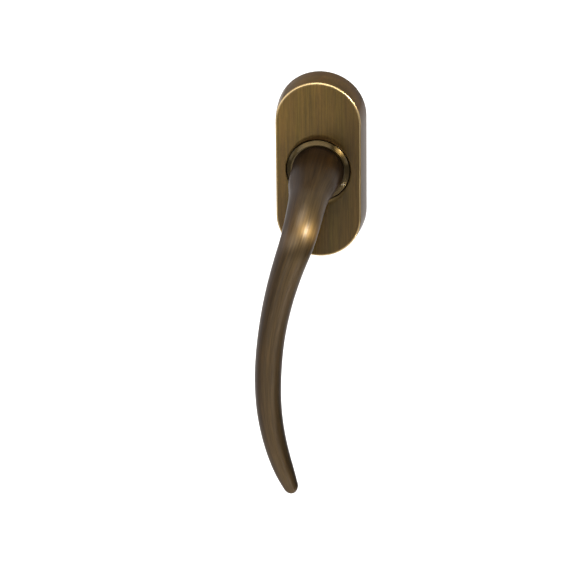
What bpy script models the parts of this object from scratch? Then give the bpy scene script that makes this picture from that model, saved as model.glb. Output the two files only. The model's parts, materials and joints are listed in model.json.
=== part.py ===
"""Tilt-and-turn window handle: a crescent lever on an obround rose, with its detent and fixings.

Units are metres. +Z is up, +X is to the right as seen from the room and +Y points into the window
sash. The origin is on the spindle's axis, in the sash's surface. "Depth" is the distance in front
of that surface, so a point at depth d has y = -d. The lever hangs down, which locks the window.
"""
import math

import bmesh
import bpy
from mathutils import Vector

# Driving dimensions
GAP = 0.0003                 # clearance between neighbouring pieces
FINE_GAP = 0.0001            # clearance where the parts run closely together
ROUND_SIDES = 32             # sides of the turned pieces
LUG_SIDES = 24               # sides of the lugs, their sleeves and the screw holes
ARC_STEPS = 14               # steps round each semicircular end of an obround

ROSE_WIDTH = 0.032
ROSE_HEIGHT = 0.067
ROSE_DEPTH = 0.011
ROSE_TAPER = 0.00088         # how far each side leans in from the back edge to the face
ROSE_ARRIS = 0.00036         # bevel between the side and the face
ROSE_WALL = 0.0012

UNDER_PLATE_DEPTH = 0.0016
BASE_INSET = 0.0024          # from the rose's back edge to the base plate's
BASE_BACK = UNDER_PLATE_DEPTH + GAP
BASE_FRONT = 0.0083

SCREW_SPACING = 0.043
SCREW_RADIUS = 0.0025
SCREW_HEAD_RADIUS = 0.0046
SCREW_HEAD_FRONT = BASE_FRONT - 0.0002
SCREW_LENGTH = 0.028
SCREW_CHAMFER = 0.3 * SCREW_RADIUS
RECESS_ARM = 0.0024          # from the screw's axis to the end of the cross recess
RECESS_HALF_WIDTH = 0.00055
RECESS_DEPTH = 0.0019

SPINDLE_SIZE = 0.007
SPINDLE_REACH = 0.032        # how far the spindle stands out behind the sash's surface
SPINDLE_FRONT = 0.024
SPINDLE_CHAMFER = 0.0008
SOCKET_HALF = SPINDLE_SIZE / 2 + GAP
GRUB_DEPTH = 0.019
GRUB_RADIUS = 0.002
GRUB_LENGTH = 0.0036

CLIP_LENGTH = 0.016
CLIP_FRONT = 0.006
CLIP_POCKET = 0.0014
CLIP_THICKNESS = 0.0004

LUG_RADIUS = 0.005
LUG_REACH = 0.0027
SLEEVE_WALL = 0.0007

SPIGOT_RADIUS = 0.007
HUB_RADIUS = 0.0066
HUB_BACK = 0.0009
HUB_FRONT = 0.0063
HUB_FLAT = 0.0058            # distance of the hub's two flats from the axis
GROOVE_RADIUS = 0.0059
GROOVE_BACK = 0.0016
GROOVE_FRONT = 0.0024
COUNTERBORE_FRONT = HUB_FRONT + FINE_GAP
BUSH_WALL = 0.0011
BUSH_BORE = SPIGOT_RADIUS + 2 * GAP + BUSH_WALL
COLLAR_RADIUS = 0.0112
COLLAR_FRONT = 0.0118
COLLAR_BEVEL_DEPTH = 0.0009
COLLAR_BEVEL_WIDTH = 0.0014
COLLAR_FLANGE_RADIUS = 0.0130

CAM_RADIUS = 0.009
CAM_BACK = 0.0032
CAM_FRONT = 0.0054
NOTCH_RADIUS = 0.0017
NOTCH_DEPTH = 0.0005
BALL_RADIUS = 0.0015
BALL_DEPTH = (CAM_BACK + CAM_FRONT) / 2
BALL_HEIGHT = CAM_RADIUS + FINE_GAP + BALL_RADIUS
CHANNEL_END = 0.0176         # where the ball channels end, from the axis
SPRING_RADIUS = 0.0011       # from the spring's axis to the middle of its wire
SPRING_WIRE_RADIUS = 0.00022
SPRING_TURNS = 5

NECK_BASE = COLLAR_FRONT + GAP
NECK_STRAIGHT_END = 0.016    # depth at which the neck starts to lean over
NECK_HANDLE = 0.0128         # length of the elbow curve's handle on the neck
NECK_LEAN = -0.0010          # how far that handle leans sideways
GRIP_HANDLE = 0.0111         # length of the elbow curve's handle on the grip
GRIP_START = 0.015           # drop below the axis at which the grip starts
GRIP_END = 0.1077
TIP_LENGTH_RATIO = 1.35      # length of the rounded tip over half its width
TIP_START = math.radians(8.5)    # where on its oval the tip takes over from the taper
TIP_END = math.radians(84)
GRIP_BOW = 0.0131            # how far the grip's bow reaches to the left
GRIP_BOW_DROP = 0.0696
GRIP_UPPER_RADIUS = 0.150
GRIP_LOWER_RADIUS = 0.104
GRIP_DEPTH = 0.0515
GRIP_RETURN_DROP = 0.026     # below this drop the grip bends gently back to the window
GRIP_RETURN_RADIUS = 0.470
LEVER_SIDES = 28
# Half the lever's width at distances along it from the collar
LEVER_HALF_WIDTHS = (
    (0.0, 0.00925),
    (0.004, 0.0090),
    (0.009, 0.00875),
    (0.0135, 0.0083),
    (0.017, 0.00765),
    (0.021, 0.0070),
    (0.026, 0.0066),
    (0.033, 0.00635),
    (0.040, 0.0061),
    (0.055, 0.0054),
    (0.076, 0.0048),
    (0.096, 0.0046),
    (0.117, 0.0041),
    (0.133, 0.0034),
    (0.143, 0.0023),
)
# Its thickness over its width at distances along it: the neck is flattened, the grip is deep
LEVER_DEPTH_RATIOS = (
    (0.0, 1.0),
    (0.009, 0.85),
    (0.014, 0.79),
    (0.019, 0.82),
    (0.026, 0.94),
    (0.033, 1.0),
    (0.055, 1.15),
)

# Colour, roughness and metallic value of each finish
FINISHES = {
    "bronze": ((0.11, 0.07, 0.03), 0.35, 1.0),
    "brass": ((0.45, 0.31, 0.14), 0.3, 1.0),
    "zamak": ((0.52, 0.52, 0.53), 0.5, 1.0),
    "zinc_steel": ((0.6, 0.6, 0.57), 0.35, 1.0),
    "spring_steel": ((0.35, 0.35, 0.37), 0.3, 1.0),
    "black_nylon": ((0.02, 0.02, 0.022), 0.6, 0.0),
    "white_nylon": ((0.75, 0.74, 0.7), 0.5, 0.0),
}


def clear_scene():
    for obj in list(bpy.data.objects):
        bpy.data.objects.remove(obj)


def finish(name):
    """The Principled BSDF material of a finish, made once."""
    material = bpy.data.materials.get(name)
    if material:
        return material
    colour, roughness, metallic = FINISHES[name]
    material = bpy.data.materials.new(name)
    material.use_nodes = True
    shader = material.node_tree.nodes["Principled BSDF"]
    shader.inputs["Base Color"].default_value = (*colour, 1.0)
    shader.inputs["Roughness"].default_value = roughness
    shader.inputs["Metallic"].default_value = metallic
    return material


def add_object(name, mesh, finish_name):
    obj = bpy.data.objects.new(name, mesh)
    bpy.context.scene.collection.objects.link(obj)
    if not mesh.materials:
        mesh.materials.append(finish(finish_name))
    return obj


def mesh_from(name, points, faces):
    """A mesh with its faces turned outwards and its round stretches shaded smooth."""
    mesh = bpy.data.meshes.new(name)
    mesh.from_pydata([tuple(point) for point in points], [], faces)
    bm = bmesh.new()
    bm.from_mesh(mesh)
    bmesh.ops.recalc_face_normals(bm, faces=bm.faces)
    bm.to_mesh(mesh)
    bm.free()
    mesh.shade_smooth()
    mesh.set_sharp_from_angle(angle=math.radians(35))
    return mesh


def skinned(name, rings):
    """A closed skin over rings of equal point counts, with a flat cap on each end."""
    count = len(rings[0])
    points = [point for ring in rings for point in ring]
    faces = [tuple(range(count)), tuple(range(len(points) - count, len(points)))]
    for row in range(len(rings) - 1):
        for i in range(count):
            j = (i + 1) % count
            low, high = row * count, (row + 1) * count
            faces.append((low + i, low + j, high + j, high + i))
    return mesh_from(name, points, faces)


def looped(name, rings):
    """A closed skin over rings whose last ring joins the first, as round a torus."""
    count = len(rings[0])
    points = [point for ring in rings for point in ring]
    faces = []
    for row in range(len(rings)):
        low, high = row * count, (row + 1) % len(rings) * count
        for i in range(count):
            j = (i + 1) % count
            faces.append((low + i, low + j, high + j, high + i))
    return mesh_from(name, points, faces)


def turned_ring(radius, depth, sides=ROUND_SIDES, x=0.0, z=0.0):
    """Points of a circle round a line along Y through (x, z)."""
    angles = [2 * math.pi * i / sides for i in range(sides)]
    return [Vector((x + radius * math.cos(a), -depth, z + radius * math.sin(a))) for a in angles]


def turned_solid(name, profile, z=0.0, sides=ROUND_SIDES):
    """A solid turned about a line along Y, from (depth, radius) pairs along its outside."""
    return skinned(name, [turned_ring(radius, depth, sides, z=z) for depth, radius in profile])


def turned_hollow(name, profile, z=0.0, sides=ROUND_SIDES):
    """A ring turned about a line along Y, from (depth, radius) pairs round its section."""
    return looped(name, [turned_ring(radius, depth, sides, z=z) for depth, radius in profile])


def tube_section(back, front, inner, outer):
    """The section of a plain tube, as (depth, radius) pairs."""
    return [(back, inner), (back, outer), (front, outer), (front, inner)]


def obround(width, height, depth):
    """The outline of an upright slot shape, whose two ends are semicircles."""
    radius = width / 2
    centre = height / 2 - radius
    points = []
    for side in (1, -1):
        for step in range(ARC_STEPS + 1):
            angle = math.pi * step / ARC_STEPS
            x = side * radius * math.cos(angle)
            z = side * (centre + radius * math.sin(angle))
            points.append(Vector((x, -depth, z)))
    return points


def rose_outline(inset, depth):
    return obround(ROSE_WIDTH - 2 * inset, ROSE_HEIGHT - 2 * inset, depth)


def block(name, low, high):
    """A box between two corners."""
    (x0, y0, z0), (x1, y1, z1) = low, high
    rings = [
        [Vector((x0, y, z0)), Vector((x1, y, z0)), Vector((x1, y, z1)), Vector((x0, y, z1))]
        for y in (y0, y1)
    ]
    return skinned(name, rings)


def boolean(target, tool_mesh, operation="DIFFERENCE"):
    """Cut a hidden tool out of an object, or join the tool to it."""
    tool = bpy.data.objects.new(f"tool_{target.name}_{len(target.modifiers)}", tool_mesh)
    bpy.context.scene.collection.objects.link(tool)
    tool.hide_render = True
    tool.display_type = "WIRE"
    modifier = target.modifiers.new(tool.name, "BOOLEAN")
    modifier.operation = operation
    modifier.object = tool


def cylinder_along_z(name, radius, low, high, depth, sides=16):
    """A cylinder along Z, centred at x = 0 and a depth."""
    rings = []
    for z in (low, high):
        angles = [2 * math.pi * i / sides for i in range(sides)]
        rings.append(
            [Vector((radius * math.cos(a), -depth + radius * math.sin(a), z)) for a in angles]
        )
    return skinned(name, rings)


def ends():
    """The upper and the lower half of what the handle has twice, with the sign of z."""
    return (("upper", 1), ("lower", -1))


# Rose

def rose_cover():
    """The pressed shell that covers the base plate, with a round hole for the collar."""
    shell = skinned("rose_cover", [
        rose_outline(0.0, GAP),
        rose_outline(ROSE_TAPER, ROSE_DEPTH - ROSE_ARRIS),
        rose_outline(ROSE_TAPER + ROSE_ARRIS, ROSE_DEPTH),
    ])
    cover = add_object("rose_cover", shell, "bronze")
    boolean(cover, skinned("cavity", [
        rose_outline(ROSE_WALL, -GAP),
        rose_outline(ROSE_WALL + ROSE_TAPER, ROSE_DEPTH - ROSE_WALL),
    ]))
    hole = COLLAR_RADIUS + GAP
    boolean(cover, turned_solid("hole", [(ROSE_WALL, hole), (ROSE_DEPTH + ROSE_WALL, hole)]))


def under_plate():
    """The nylon plate between the base plate and the sash."""
    inset = ROSE_WALL + GAP + FINE_GAP
    outline = [rose_outline(inset, 0.0), rose_outline(inset, UNDER_PLATE_DEPTH)]
    plate = add_object("under_plate", skinned("under_plate", outline), "black_nylon")
    boolean(plate, through_hole(CAM_RADIUS + GAP, 0.0))
    for _, sign in ends():
        boolean(plate, through_hole(LUG_RADIUS + 2 * GAP + SLEEVE_WALL, sign * SCREW_SPACING / 2))


def through_hole(radius, z):
    """A cutter along Y that passes right through the rose."""
    return turned_solid("hole", [(-ROSE_DEPTH, radius), (2 * ROSE_DEPTH, radius)], z=z)


def base_plate():
    """The die-cast plate that is screwed to the sash and carries everything else."""
    outline = [rose_outline(BASE_INSET, BASE_BACK), rose_outline(BASE_INSET, BASE_FRONT)]
    plate = add_object("base_plate", skinned("base_plate", outline), "zamak")
    boolean(plate, turned_solid("counterbore", [
        (0.0, CAM_RADIUS + 2 * GAP),
        (COUNTERBORE_FRONT, CAM_RADIUS + 2 * GAP),
    ]))
    boolean(plate, turned_solid("bush_bore", [(0.0, BUSH_BORE), (ROSE_DEPTH, BUSH_BORE)]))
    for _, sign in ends():
        z = sign * SCREW_SPACING / 2
        lug = [(-LUG_REACH, LUG_RADIUS), (BASE_BACK + GAP, LUG_RADIUS)]
        boolean(plate, turned_solid("lug", lug, z=z, sides=LUG_SIDES), "UNION")
        hole = screw_profile(GAP, -ROSE_DEPTH) + [(ROSE_DEPTH, SCREW_HEAD_RADIUS + GAP)]
        boolean(plate, turned_solid("screw_hole", hole, z=z, sides=LUG_SIDES))
        channel = sorted((sign * CAM_RADIUS, sign * CHANNEL_END))
        boolean(plate, cylinder_along_z("channel", BALL_RADIUS + GAP, *channel, BALL_DEPTH))
    for side in (-1, 1):
        wall = side * (ROSE_WIDTH / 2 - BASE_INSET)
        x0, x1 = sorted((wall - side * CLIP_POCKET, wall + side * CLIP_POCKET))
        half = CLIP_LENGTH / 2 + GAP
        boolean(plate, block("pocket", (x0, -CLIP_FRONT - GAP, -half), (x1, 0.0, half)))


def lug_sleeve(label, sign):
    """A nylon sleeve that fits a base plate lug to a wider hole in the sash."""
    inner = LUG_RADIUS + GAP
    section = tube_section(-LUG_REACH, UNDER_PLATE_DEPTH, inner, inner + SLEEVE_WALL)
    z = sign * SCREW_SPACING / 2
    name = f"lug_sleeve_{label}"
    add_object(name, turned_hollow(name, section, z=z, sides=LUG_SIDES), "white_nylon")


def screw_profile(extra, back):
    """(depth, radius) pairs of a countersunk screw, or of its hole, which is larger by extra."""
    cone = SCREW_HEAD_RADIUS - SCREW_RADIUS
    return [
        (back, SCREW_RADIUS + extra),
        (SCREW_HEAD_FRONT - cone - extra, SCREW_RADIUS + extra),
        (SCREW_HEAD_FRONT, SCREW_HEAD_RADIUS + extra),
    ]


def fixing_screw(label, sign):
    """A countersunk machine screw with a cross recess and a chamfered tip."""
    z = sign * SCREW_SPACING / 2
    tip = SCREW_HEAD_FRONT - SCREW_LENGTH
    profile = [(tip, SCREW_RADIUS - SCREW_CHAMFER)] + screw_profile(0.0, tip + SCREW_CHAMFER)
    name = f"fixing_screw_{label}"
    screw = add_object(name, turned_solid(name, profile, z=z, sides=20), "zinc_steel")
    boolean(screw, cross_recess(z))


def cross_recess(z):
    """A plus-shaped prism along Y, for cutting the recess of a screw's head."""
    corners = []
    for quarter in range(4):
        angle = quarter * math.pi / 2
        out = Vector((math.cos(angle), 0.0, math.sin(angle)))
        across = Vector((-math.sin(angle), 0.0, math.cos(angle)))
        end, side = out * RECESS_ARM, across * RECESS_HALF_WIDTH
        corners += [end - side, end + side, (out + across) * RECESS_HALF_WIDTH]
    depths = (SCREW_HEAD_FRONT - RECESS_DEPTH, SCREW_HEAD_FRONT + RECESS_DEPTH)
    rings = [[corner + Vector((0.0, -depth, z)) for corner in corners] for depth in depths]
    return skinned("cross", rings)


def cover_clip(label, side):
    """A bowed leaf spring in the base plate's edge, which grips the cover's wall."""
    wall = side * (ROSE_WIDTH / 2 - BASE_INSET)
    deepest = wall - side * (CLIP_POCKET - GAP)
    bow = CLIP_POCKET - GAP - CLIP_THICKNESS
    steps = 8
    rings = []
    for step in range(steps + 1):
        z = CLIP_LENGTH * (step / steps - 0.5)
        x = deepest + side * bow * (1 - (2 * z / CLIP_LENGTH) ** 2)
        rings.append([
            Vector((x + dx, -depth, z))
            for dx, depth in (
                (0.0, CLIP_FRONT),
                (side * CLIP_THICKNESS, CLIP_FRONT),
                (side * CLIP_THICKNESS, BASE_BACK + GAP),
                (0.0, BASE_BACK + GAP),
            )
        ])
    name = f"cover_clip_{label}"
    add_object(name, skinned(name, rings), "spring_steel")


# Bearing of the lever

def neck_bush():
    """The nylon bush that the lever's spigot turns in."""
    inner = SPIGOT_RADIUS + GAP
    section = tube_section(COUNTERBORE_FRONT, COLLAR_FRONT - GAP, inner, inner + BUSH_WALL)
    add_object("neck_bush", turned_hollow("neck_bush", section), "white_nylon")


def neck_collar():
    """The brass ring round the neck, held down by its flange under the cover."""
    flange_back = BASE_FRONT + GAP
    flange_front = ROSE_DEPTH - ROSE_WALL - GAP
    section = [
        (flange_back, BUSH_BORE),
        (flange_back, COLLAR_FLANGE_RADIUS),
        (flange_front, COLLAR_FLANGE_RADIUS),
        (flange_front, COLLAR_RADIUS),
        (COLLAR_FRONT - COLLAR_BEVEL_DEPTH, COLLAR_RADIUS),
        (COLLAR_FRONT, COLLAR_RADIUS - COLLAR_BEVEL_WIDTH),
        (COLLAR_FRONT, BUSH_BORE),
    ]
    add_object("neck_collar", turned_hollow("neck_collar", section), "brass")


# Lever

def grip_point(drop):
    """A point on the grip's centre line at a drop below the axis."""
    below_bow = drop - GRIP_BOW_DROP
    bow_radius = GRIP_UPPER_RADIUS if below_bow < 0 else GRIP_LOWER_RADIUS
    x = -GRIP_BOW + below_bow ** 2 / (2 * bow_radius)
    bend = max(drop - GRIP_RETURN_DROP, 0.0)
    depth = GRIP_DEPTH - bend ** 2 / (2 * GRIP_RETURN_RADIUS)
    return Vector((x, -depth, -drop))


def elbow_point(t):
    """A point on the cubic curve that joins the neck to the grip, for t from 0 to 1."""
    start = Vector((0.0, -NECK_STRAIGHT_END, 0.0))
    end = grip_point(GRIP_START)
    tangent = (grip_point(GRIP_START + GAP) - end).normalized()
    first = start + Vector((NECK_LEAN, -NECK_HANDLE, 0.0))
    second = end - tangent * GRIP_HANDLE
    s = 1 - t
    return start * s ** 3 + first * 3 * s * s * t + second * 3 * s * t * t + end * t ** 3


def lever_line():
    """The lever's centre line, from the collar to the tip."""
    neck_steps, elbow_steps, grip_steps = 2, 12, 26
    line = []
    for i in range(neck_steps):
        depth = NECK_BASE + (NECK_STRAIGHT_END - NECK_BASE) * i / neck_steps
        line.append(Vector((0.0, -depth, 0.0)))
    line += [elbow_point(i / elbow_steps) for i in range(elbow_steps)]
    reach = GRIP_END - GRIP_START
    line += [grip_point(GRIP_START + reach * i / grip_steps) for i in range(grip_steps + 1)]
    return line


def smooth_value(stations, at):
    """The value at a distance, on a smooth curve through (distance, value) stations."""
    last = len(stations) - 1
    at = min(max(at, stations[0][0]), stations[last][0])
    i = next(k for k in range(last) if at <= stations[k + 1][0])

    def slope(k):
        a, b = stations[max(k - 1, 0)], stations[min(k + 1, last)]
        return (b[1] - a[1]) / (b[0] - a[0])

    (x0, v0), (x1, v1) = stations[i], stations[i + 1]
    h = x1 - x0
    t = (at - x0) / h
    return (
        (2 * t ** 3 - 3 * t ** 2 + 1) * v0
        + (t ** 3 - 2 * t ** 2 + t) * h * slope(i)
        + (3 * t ** 2 - 2 * t ** 3) * v1
        + (t ** 3 - t ** 2) * h * slope(i + 1)
    )


def oval_ring(centre, across, through, half_width, half_depth):
    angles = [2 * math.pi * i / LEVER_SIDES for i in range(LEVER_SIDES)]
    return [
        centre + across * half_width * math.cos(a) + through * half_depth * math.sin(a)
        for a in angles
    ]


def lever_rings():
    """Sections along the lever, square to its centre line, ending in a rounded tip."""
    line = lever_line()
    across = Vector((1.0, 0.0, 0.0))
    along = 0.0
    rings = []
    for i, centre in enumerate(line):
        if i:
            along += (centre - line[i - 1]).length
        tangent = (line[min(i + 1, len(line) - 1)] - line[max(i - 1, 0)]).normalized()
        across = (across - tangent * across.dot(tangent)).normalized()
        through = tangent.cross(across)
        half_width = smooth_value(LEVER_HALF_WIDTHS, along)
        half_depth = half_width * smooth_value(LEVER_DEPTH_RATIOS, along)
        rings.append(oval_ring(centre, across, through, half_width, half_depth))
    cap_steps = 5
    for step in range(1, cap_steps + 1):
        angle = TIP_START + (TIP_END - TIP_START) * step / cap_steps
        size = math.cos(angle) / math.cos(TIP_START)
        reach = half_width * TIP_LENGTH_RATIO * (math.sin(angle) - math.sin(TIP_START))
        tip = centre + tangent * reach
        rings.append(oval_ring(tip, across, through, half_width * size, half_depth * size))
    return rings


def spigot_rings():
    """The turned end of the lever, from its back up to the neck's base."""
    profile = (
        (HUB_BACK, HUB_RADIUS),
        (GROOVE_BACK, HUB_RADIUS),
        (GROOVE_BACK, GROOVE_RADIUS),
        (GROOVE_FRONT, GROOVE_RADIUS),
        (GROOVE_FRONT, HUB_RADIUS),
        (HUB_FRONT, HUB_RADIUS),
        (HUB_FRONT, SPIGOT_RADIUS),
        (NECK_BASE, SPIGOT_RADIUS),
    )
    x_axis, z_axis = Vector((1.0, 0.0, 0.0)), Vector((0.0, 0.0, 1.0))
    return [
        oval_ring(Vector((0.0, -depth, 0.0)), x_axis, z_axis, radius, radius)
        for depth, radius in profile
    ]


def lever_handle():
    """The cast lever: hub, spigot, neck and crescent grip in one piece."""
    lever = add_object(
        "lever_handle", skinned("lever_handle", spigot_rings() + lever_rings()), "bronze"
    )
    front = SPINDLE_FRONT + GAP
    low = (-SOCKET_HALF, -front, -SOCKET_HALF)
    boolean(lever, block("socket", low, (SOCKET_HALF, 0.0, SOCKET_HALF)))
    grub_hole = (-2 * COLLAR_RADIUS, 0.0, GRUB_DEPTH)
    boolean(lever, cylinder_along_z("grub_hole", GRUB_RADIUS + GAP, *grub_hole))
    for side in (-1, 1):
        x0, x1 = sorted((side * HUB_FLAT, side * 2 * HUB_FLAT))
        corner = (x1, 0.0, HUB_RADIUS)
        boolean(lever, block("flat", (x0, -HUB_FRONT + GAP, -HUB_RADIUS), corner))


def spindle():
    """The square bar that turns the window's lock, with a chamfer at its far end."""
    half = SPINDLE_SIZE / 2
    rings = [
        [
            Vector((x * size, -depth, z * size))
            for x, z in ((-1, -1), (1, -1), (1, 1), (-1, 1))
        ]
        for depth, size in (
            (-SPINDLE_REACH, half - SPINDLE_CHAMFER),
            (-SPINDLE_REACH + SPINDLE_CHAMFER, half),
            (SPINDLE_FRONT, half),
        )
    ]
    add_object("spindle", skinned("spindle", rings), "zinc_steel")


def grub_screw():
    """The socket set screw under the neck that holds the lever on the spindle."""
    top = -(SPINDLE_SIZE / 2 + GAP)
    bottom = top - GRUB_LENGTH
    mesh = cylinder_along_z("grub_screw", GRUB_RADIUS, bottom, top, GRUB_DEPTH)
    screw = add_object("grub_screw", mesh, "zinc_steel")
    recess = (bottom - GAP, bottom + GRUB_LENGTH / 2, GRUB_DEPTH)
    boolean(screw, cylinder_along_z("hex", GRUB_RADIUS / 2, *recess, sides=6))


# Detent

def detent_cam():
    """The disc on the hub with a notch for the balls at every quarter turn."""
    profile = [(CAM_BACK, CAM_RADIUS), (CAM_FRONT, CAM_RADIUS)]
    cam = add_object("detent_cam", turned_solid("detent_cam", profile, sides=64), "zinc_steel")
    boolean(cam, keyed_hole())
    centre = CAM_RADIUS - NOTCH_DEPTH + NOTCH_RADIUS
    for quarter in range(4):
        angle = quarter * math.pi / 2
        x, z = centre * math.cos(angle), centre * math.sin(angle)
        rings = [turned_ring(NOTCH_RADIUS, depth, 16, x, z) for depth in (0.0, ROSE_DEPTH)]
        boolean(cam, skinned("notch", rings))


def keyed_hole():
    """A cutter that clears the hub: a circle with two flats."""
    radius = HUB_RADIUS + GAP
    flat = HUB_FLAT + GAP
    corner = math.acos(flat / radius)
    steps = 8
    rings = []
    for depth in (0.0, ROSE_DEPTH):
        ring = []
        for start in (corner, corner + math.pi):
            for step in range(steps + 1):
                angle = start + (math.pi - 2 * corner) * step / steps
                ring.append(Vector((radius * math.cos(angle), -depth, radius * math.sin(angle))))
        rings.append(ring)
    return skinned("keyed_hole", rings)


def washer(name, back, front, outer, finish_name):
    section = tube_section(back, front, HUB_RADIUS + GAP, outer)
    add_object(name, turned_hollow(name, section), finish_name)


def wave_washer():
    """The wavy spring ring between the retaining ring and the cam, which takes up end play."""
    thickness, swing, waves, steps = 0.0002, 0.00005, 3, 36
    inner, outer = HUB_RADIUS + GAP, CAM_RADIUS - GAP
    middle = (GROOVE_FRONT + CAM_BACK) / 2
    rings = []
    for step in range(steps):
        angle = 2 * math.pi * step / steps
        depth = middle + swing * math.sin(waves * angle)
        rings.append([
            Vector((radius * math.cos(angle), -depth - offset, radius * math.sin(angle)))
            for radius, offset in (
                (inner, -thickness / 2),
                (outer, -thickness / 2),
                (outer, thickness / 2),
                (inner, thickness / 2),
            )
        ])
    add_object("wave_washer", looped("wave_washer", rings), "spring_steel")


def retaining_ring():
    """The open ring that snaps into the hub's groove and holds the lever in the rose."""
    back, front = GROOVE_BACK + FINE_GAP, GROOVE_FRONT - FINE_GAP
    inner, outer = GROOVE_RADIUS + GAP, CAM_RADIUS - 2 * GAP
    opening = math.radians(50)
    steps = 28
    rings = []
    for step in range(steps + 1):
        angle = -math.pi / 2 + opening / 2 + (2 * math.pi - opening) * step / steps
        rings.append([
            Vector((radius * math.cos(angle), -depth, radius * math.sin(angle)))
            for depth, radius in tube_section(back, front, inner, outer)
        ])
    add_object("retaining_ring", skinned("retaining_ring", rings), "spring_steel")


def detent_ball(label, sign):
    """A steel ball that drops into the cam's notches, with its origin on its own slide's axis."""
    name = f"detent_ball_{label}"
    mesh = bpy.data.meshes.new(name)
    bm = bmesh.new()
    bmesh.ops.create_uvsphere(bm, u_segments=16, v_segments=10, radius=BALL_RADIUS)
    bm.to_mesh(mesh)
    bm.free()
    mesh.shade_smooth()
    ball = add_object(name, mesh, "zinc_steel")
    ball.location = (0.0, -BALL_DEPTH, sign * BALL_HEIGHT)


def detent_spring(label, sign):
    """The coil spring that presses a ball against the cam."""
    start = BALL_HEIGHT + BALL_RADIUS + GAP + SPRING_WIRE_RADIUS
    end = CHANNEL_END - GAP - SPRING_WIRE_RADIUS
    steps_per_turn, wire_sides = 12, 6
    steps = SPRING_TURNS * steps_per_turn
    rings = []
    for step in range(steps + 1):
        angle = 2 * math.pi * step / steps_per_turn
        outwards = Vector((math.cos(angle), math.sin(angle), 0.0))
        z = start + (end - start) * step / steps
        centre = outwards * SPRING_RADIUS + Vector((0.0, -BALL_DEPTH, sign * z))
        rings.append([
            centre
            + outwards * SPRING_WIRE_RADIUS * math.cos(a)
            + Vector((0.0, 0.0, SPRING_WIRE_RADIUS * math.sin(a)))
            for a in (2 * math.pi * side / wire_sides for side in range(wire_sides))
        ])
    name = f"detent_spring_{label}"
    add_object(name, skinned(name, rings), "spring_steel")


def build():
    clear_scene()
    under_plate()
    base_plate()
    rose_cover()
    neck_bush()
    neck_collar()
    lever_handle()
    spindle()
    grub_screw()
    detent_cam()
    washer("thrust_washer", CAM_FRONT + GAP, HUB_FRONT - GAP, CAM_RADIUS - GAP, "white_nylon")
    wave_washer()
    retaining_ring()
    for label, sign in ends():
        lug_sleeve(label, sign)
        fixing_screw(label, sign)
        detent_ball(label, sign)
        detent_spring(label, sign)
    for label, side in (("left", -1), ("right", 1)):
        cover_clip(label, side)


build()
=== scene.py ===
"""Looks of the tilt-and-turn window handle: fine meshes, brushed bronze and a studio.

Metres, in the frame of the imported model: +Z up, +X to the right as seen from the room, +Y into the
sash, origin on the spindle's axis in the sash's surface. Depth is the distance in front of that
surface, so a point at depth d has y = -d.
"""

import json
import math

import bmesh
import bpy
from mathutils import Matrix, Vector


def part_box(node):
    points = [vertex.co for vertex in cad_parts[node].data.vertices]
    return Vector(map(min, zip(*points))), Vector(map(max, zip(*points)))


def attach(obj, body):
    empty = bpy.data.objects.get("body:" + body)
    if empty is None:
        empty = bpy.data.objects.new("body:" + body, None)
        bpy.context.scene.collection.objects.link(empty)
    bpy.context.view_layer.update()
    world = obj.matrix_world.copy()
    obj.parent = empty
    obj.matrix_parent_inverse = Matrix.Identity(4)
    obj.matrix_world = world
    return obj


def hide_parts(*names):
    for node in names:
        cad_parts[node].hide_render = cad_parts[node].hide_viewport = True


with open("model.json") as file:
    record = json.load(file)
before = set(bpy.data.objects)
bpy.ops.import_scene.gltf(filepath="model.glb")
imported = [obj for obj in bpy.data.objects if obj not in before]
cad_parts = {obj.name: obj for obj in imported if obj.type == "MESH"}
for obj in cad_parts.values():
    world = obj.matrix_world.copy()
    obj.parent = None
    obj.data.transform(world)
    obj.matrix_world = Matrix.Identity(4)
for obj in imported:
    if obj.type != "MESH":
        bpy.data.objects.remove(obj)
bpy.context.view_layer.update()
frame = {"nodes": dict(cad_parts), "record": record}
scene = bpy.context.scene
nodes = frame["nodes"]

MM = 0.001
GAP = 0.3 * MM

# Rose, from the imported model, with the shape of its shell
rose_low, rose_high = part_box("rose_cover")
ROSE_WIDTH = rose_high.x - rose_low.x
ROSE_HEIGHT = rose_high.z - rose_low.z
ROSE_DEPTH = -rose_low.y
ROSE_BACK = -rose_high.y
ROSE_TAPER = 0.88 * MM       # how far its sides lean in from back to front
ROSE_BOW = 1.8               # power of the curve that they lean in on
ROSE_WALL = 1.2 * MM
ARRIS_RADIUS = 0.55 * MM
LIP_RADIUS = 0.15 * MM
ARRIS_STEPS = 8
SIDE_STEPS = 8
FACE_SHARES = (0.02, 0.06, 0.15, 0.3, 0.5, 0.7, 0.9)    # places of the rings across its face

# How far the rose's finish is rubbed through to bright metal, from 0 to 1
LIP_WEAR = 0.25
ARRIS_WEAR = 1.0
FACE_EDGE_WEAR = 0.3
HOLE_WEAR = 0.5

# Collar
collar_low, collar_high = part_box("neck_collar")
COLLAR_FRONT = -collar_low.y
COLLAR_FLANGE_BACK = -collar_high.y
COLLAR_FLANGE_RADIUS = collar_high.x
COLLAR_RADIUS = 11.2 * MM
COLLAR_BORE = 8.7 * MM
COLLAR_BEVEL_DEPTH = 0.9 * MM
COLLAR_BEVEL_WIDTH = 1.4 * MM

# Lever: its turned end
SPIGOT_RADIUS = 7.0 * MM
HUB_RADIUS = 6.6 * MM
HUB_BACK = 0.9 * MM
HUB_FRONT = 6.3 * MM
HUB_FLAT = 5.8 * MM
GROOVE_RADIUS = 5.9 * MM
GROOVE_BACK = 1.6 * MM
GROOVE_FRONT = 2.4 * MM
SOCKET_HALF = 3.8 * MM
SOCKET_FRONT = 24.3 * MM
GRUB_DEPTH = 19 * MM
GRUB_HOLE_RADIUS = 2.3 * MM
GRUB_HOLE_REACH = 22 * MM

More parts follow.
